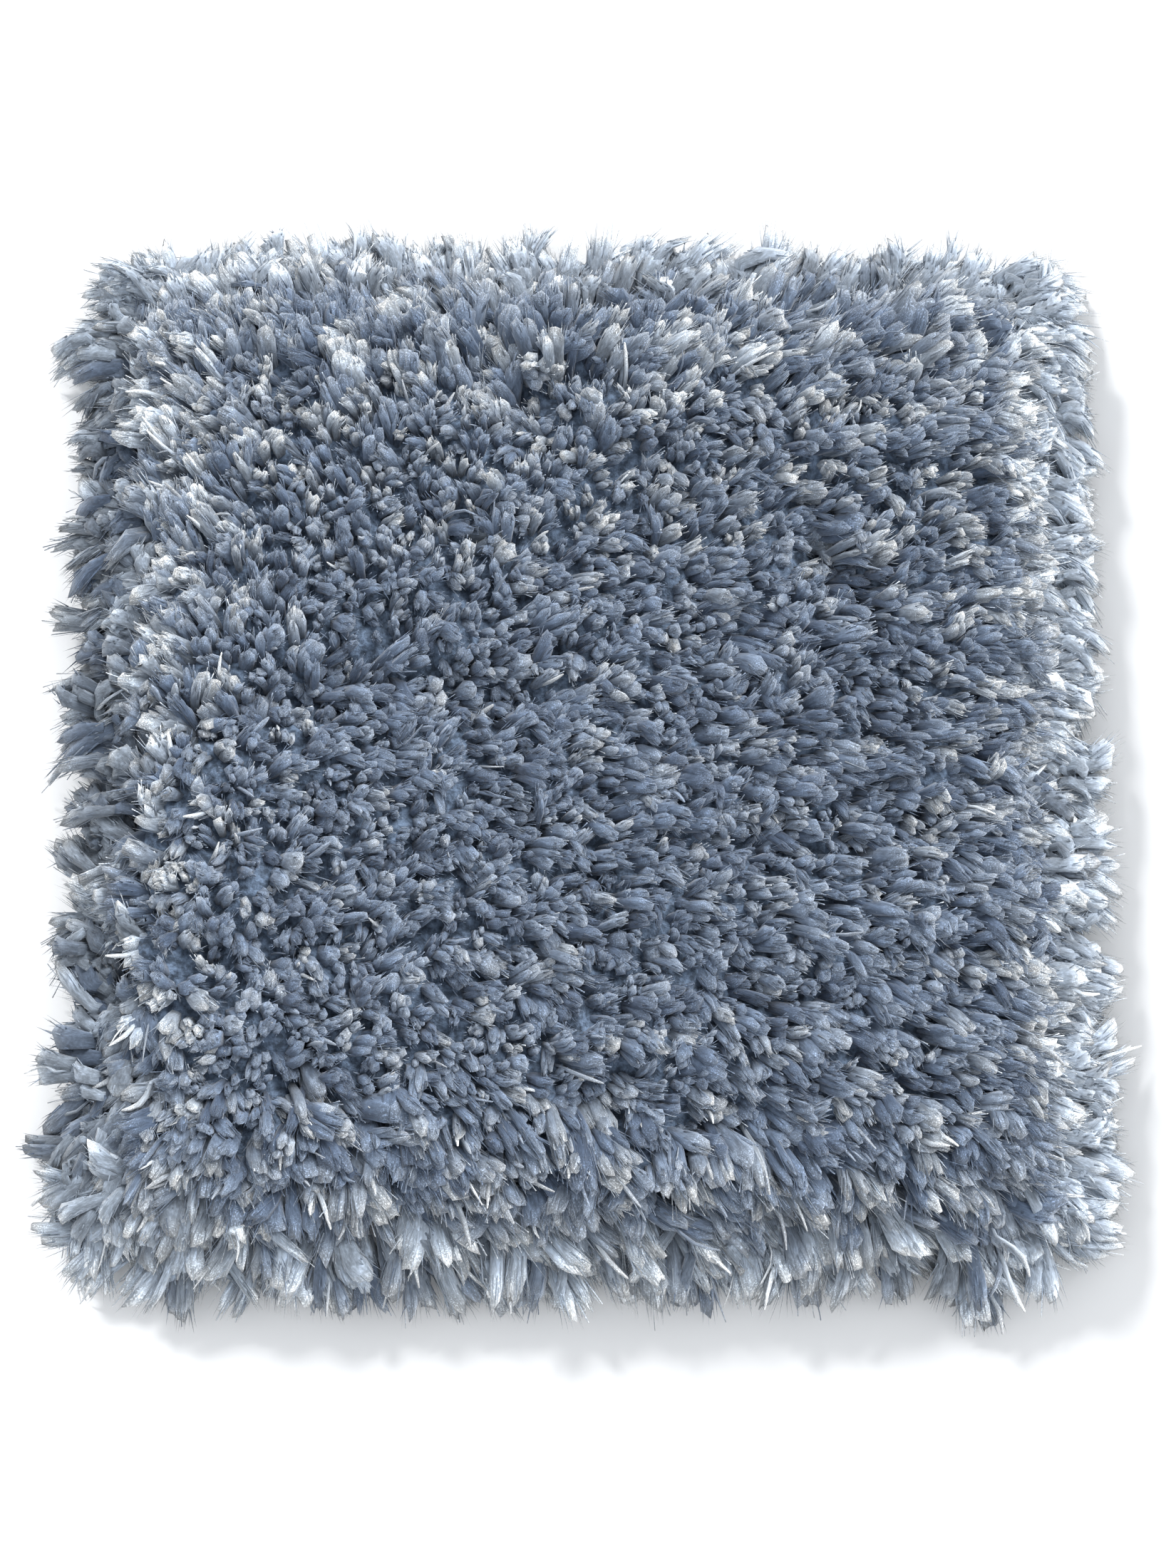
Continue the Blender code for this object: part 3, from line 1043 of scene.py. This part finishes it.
def underpile_finish(colours):
    """The dense lower pile: deep blue-grey, mottled by the yarns' shafts."""
    finish = Finish("underpile yarn")
    place = finish.add("UVMap", uv_map=MAP).outputs[0]
    mottle = finish.noise(place, scale=120.0, detail=3.0, roughness=0.6)
    base = finish.times((*colours.root, 1), finish.ramp(mottle, UNDERPILE_SHADE))
    bump = finish.add("Bump", {"Strength": 0.9, "Distance": 0.8 * MM, "Height": mottle})
    finish.set(Base_Color=base, Normal=bump.outputs[0], Roughness=0.85)
    finish.set(Sheen_Weight=0.2, Specular_IOR_Level=0.15)
    return finish.material


def cloth_finish(colours):
    """Plain woven backing cloth, matt, with uneven threads."""
    finish = Finish("backing cloth")
    place = finish.add("TexCoord").outputs["Object"]
    scale = 2 * math.pi / THREAD_PITCH
    split = finish.add("SeparateXYZ", {0: place})
    waves = [
        finish.math("SINE", finish.math("MULTIPLY", split.outputs[axis], scale)) for axis in (0, 1)
    ]
    crossing = finish.math("MULTIPLY", waves[0], waves[1])
    uneven = finish.noise(place, scale=260.0, detail=3.0)
    height = finish.math("ADD", crossing, uneven)
    base = finish.times((*colours.cloth, 1), finish.ramp(height, CLOTH_SHADE))
    bump = finish.add("Bump", {"Strength": 0.6, "Distance": 0.3 * MM, "Height": height})
    finish.set(Base_Color=base, Normal=bump.outputs[0], Roughness=0.92, Sheen_Weight=0.1)
    return finish.material


def floor_finish(colour):
    """The studio's plain pale floor."""
    finish = Finish("studio floor")
    finish.set(Base_Color=(*colour, 1), Roughness=0.9, Specular_IOR_Level=0.1)
    return finish.material


# ------------------------ the pieces


def split_by(values, parts):
    """Masks of that many even parts of the values, from the lowest to the highest."""
    ranks = np.argsort(np.argsort(values))
    return [(ranks * parts // len(values)) == part for part in range(parts)]


class SHAG_OT_tufts(bpy.types.Operator):
    """Make the yarn tufts of the pile, lock by lock"""

    bl_idname = "shag.tufts"
    bl_label = "Tufts"

    def execute(self, context):
        scene = context.scene
        locks = plan_locks(scene.shag_pile)
        rng = np.random.default_rng(SEED + 2)
        rings, ends = lock_rings(locks, scene.shag_pile, rng)
        columns = map_columns(locks.tone[:, None])
        material = tuft_finish(scene.shag_finish)
        names = ("tufts_left", "tufts_middle", "tufts_right")
        for name, mask in zip(names, split_by(locks.root[:, 0], len(names))):
            made = skin(rings[mask], ends[mask], map_levels(LOCK), columns[mask])
            add_piece(name, *made, material, "pile")
        return {"FINISHED"}


class SHAG_OT_underpile(bpy.types.Operator):
    """Make the dense lower pile that shows deep between the tufts"""

    bl_idname = "shag.underpile"
    bl_label = "Underpile"

    def execute(self, context):
        scene = context.scene
        rng = np.random.default_rng(SEED + 6)
        side = BACKING_HALF - UNDER_MARGIN
        points, faces = closed_grid(side, UNDER_CELLS)
        flat = points[:, :2]
        upper = points[:, 2] > 0
        top = pile_top(flat) - scene.shag_pile.under_depth
        bumps = slow_field(flat, rng, 5 * MM) + slow_field(flat, rng, 3.4 * MM)
        share = eased(inset_of(flat) - UNDER_MARGIN, -3 * MM, 5 * MM)
        floor = BACKING_HIGH.z + 1 * MM
        height = floor + share * np.maximum(top - floor, 0) + share * bumps * 0.8 * MM
        points[:, 2] = np.where(upper, height, BACKING_HIGH.z + 0.1 * MM)
        spread = np.where(upper, 1.0, 1.04)[:, None]
        corners = corner_places(flat * spread / (2.2 * side) + 0.5, faces)
        material = underpile_finish(scene.shag_finish)
        add_piece("underpile", points, faces, corners, material, "pile")
        return {"FINISHED"}


class SHAG_OT_strands(bpy.types.Operator):
    """Make the shiny strands between the tufts"""

    bl_idname = "shag.strands"
    bl_label = "Sheen strands"

    def execute(self, context):
        scene = context.scene
        rng = np.random.default_rng(SEED + 3)
        strands, broad = plan_strands(scene.shag_pile, rng)
        rings, ends = strand_rings(strands, broad, scene.shag_pile, rng)
        # painted sheen: the broad strands are made paler, and the strands at the rim a little
        # darker
        paler = 0.18 * broad - 0.06 * strands.rim[:, None]
        columns = map_columns(strands.tone[:, None] + paler, 0.1, 0.4)
        made = skin(rings, ends, map_levels(STRAND), columns)
        add_piece("strands", *made, strand_finish(scene.shag_finish), "pile")
        return {"FINISHED"}


class SHAG_OT_fibres(bpy.types.Operator):
    """Make the loose fibres that stand off the tufts"""

    bl_idname = "shag.fibres"
    bl_label = "Loose fibres"

    def execute(self, context):
        scene = context.scene
        fibres = plan_fibres(scene.shag_pile, np.random.default_rng(SEED + 4))
        material = fibre_finish(scene.shag_finish)
        right = fibres.base[:, 0] > np.median(fibres.base[:, 0])
        for name, cut, mask in (
            ("fibres_left", False, ~fibres.blunt & ~right),
            ("fibres_right", False, ~fibres.blunt & right),
            ("cut_fibres_left", True, fibres.blunt & ~right),
            ("cut_fibres_right", True, fibres.blunt & right),
        ):
            rings, point = fibre_rings(fibres, cut)
            levels, foot = CUT_FIBRE_LEVELS if cut else FIBRE_LEVELS
            columns = fibres.columns[mask]
            made = skin(rings[mask][:, None], point[mask], levels, columns, foot)
            add_piece(name, *made, material, "pile")
        return {"FINISHED"}


class SHAG_OT_backing(bpy.types.Operator):
    """Make the woven backing cloth"""

    bl_idname = "shag.backing"
    bl_label = "Backing"

    def execute(self, context):
        scene = context.scene
        side = BACKING_HALF - CLOTH_MARGIN
        points, faces = closed_grid(side, CLOTH_CELLS)
        flat = points[:, :2]
        rng = np.random.default_rng(SEED + 5)
        wander = slow_field(flat, rng, 9 * MM)[:, None] * 0.25 * MM
        points[:, :2] += wander * (np.abs(flat) > side - 0.1 * MM) * np.sign(flat)
        points[:, 2] *= BACKING_HIGH.z
        spread = 1 + 0.03 * points[:, 2:] / BACKING_HIGH.z
        corners = corner_places(flat * spread / (2.2 * side) + 0.5, faces)
        material = cloth_finish(scene.shag_finish)
        cloth = add_piece("backing_cloth", points, faces, corners, material, "backing")
        cloth.data.shade_flat()
        return {"FINISHED"}


class SHAG_OT_stage(bpy.types.Operator):
    """Make the floor, the lights and the camera"""

    bl_idname = "shag.stage"
    bl_label = "Stage"

    def execute(self, context):
        scene = context.scene
        settings = scene.shag_stage
        mesh = bpy.data.meshes.new("studio_floor")
        corners = [(FLOOR_HALF * x, FLOOR_HALF * y, 0) for x, y in FLOOR_CORNERS]
        mesh.from_pydata(corners, [], [(0, 1, 2, 3)])
        mesh.materials.append(floor_finish(settings.floor))
        floor = bpy.data.objects.new("studio_floor", mesh)
        floor.location.z = -FLOOR_DROP
        scene.collection.objects.link(floor)
        floor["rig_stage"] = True

        carpet = bpy.data.collections.new("carpet")
        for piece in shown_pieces():
            carpet.objects.link(piece)
        ground = bpy.data.collections.new("ground")
        ground.objects.link(floor)
        for sun in CARPET_SUNS:
            self.hang(sun, carpet)
        for sun in FLOOR_SUNS:
            self.hang(sun, ground)
        scene.world = scene.world or bpy.data.worlds.new("studio")
        scene.world.use_nodes = True
        background = scene.world.node_tree.nodes["Background"]
        background.inputs[0].default_value = SKY
        background.inputs[1].default_value = SKY_STRENGTH
        scene.view_settings.view_transform = "Standard"

        camera = bpy.data.cameras.new("camera")
        camera.lens = camera.sensor_width * settings.distance / VIEW_HEIGHT
        camera.clip_start = 0.01
        viewer = bpy.data.objects.new("camera", camera)
        back = Vector((0, -math.cos(settings.elevation), math.sin(settings.elevation)))
        viewer.location = Vector(VIEW_MIDDLE) + back * settings.distance
        viewer.rotation_euler = (math.pi / 2 - settings.elevation, 0, 0)
        scene.collection.objects.link(viewer)
        scene.camera = viewer
        return {"FINISHED"}

    def hang(self, sun, lit):
        """Adds a soft even light on the objects of that collection."""
        light = bpy.data.lights.new(sun.name, "SUN")
        light.energy = sun.strength
        light.angle = math.radians(sun.spread)
        lamp = bpy.data.objects.new(sun.name, light)
        lamp.light_linking.receiver_collection = lit
        lamp.rotation_euler = (0, math.radians(90 - sun.elevation), math.radians(sun.azimuth))
        bpy.context.scene.collection.objects.link(lamp)


class SHAG_PT_sidebar(bpy.types.Panel):
    """The carpet's steps and sizes in the sidebar"""

    bl_label = "Shag carpet"
    bl_idname = "SHAG_PT_sidebar"
    bl_space_type = "VIEW_3D"
    bl_region_type = "UI"
    bl_category = "Shag"

    def draw(self, context):
        scene = context.scene
        for settings in (scene.shag_pile, scene.shag_finish, scene.shag_stage):
            box = self.layout.box()
            for key in type(settings).__annotations__:
                box.prop(settings, key)
        for operator in OPERATORS:
            self.layout.operator(operator.bl_idname)


OPERATORS = (
    SHAG_OT_tufts,
    SHAG_OT_underpile,
    SHAG_OT_strands,
    SHAG_OT_fibres,
    SHAG_OT_backing,
    SHAG_OT_stage,
)
SETTINGS = {
    "shag_pile": PileSettings,
    "shag_finish": FinishSettings,
    "shag_stage": StageSettings,
}
CLASSES = (*SETTINGS.values(), *OPERATORS, SHAG_PT_sidebar)


def register():
    """Registers the classes and adds the settings to the scene."""
    for cls in CLASSES:
        bpy.utils.register_class(cls)
    for name, settings in SETTINGS.items():
        setattr(bpy.types.Scene, name, bpy.props.PointerProperty(type=settings))


def unregister():
    """Takes the settings and the classes away."""
    for name in SETTINGS:
        delattr(bpy.types.Scene, name)
    for cls in reversed(CLASSES):
        bpy.utils.unregister_class(cls)


def main():
    """Makes the carpet piece by piece, then its stage."""
    register()
    bpy.ops.shag.tufts()
    bpy.ops.shag.underpile()
    bpy.ops.shag.strands()
    bpy.ops.shag.fibres()
    bpy.ops.shag.backing()
    bpy.ops.shag.stage()


if __name__ == "__main__":
    main()
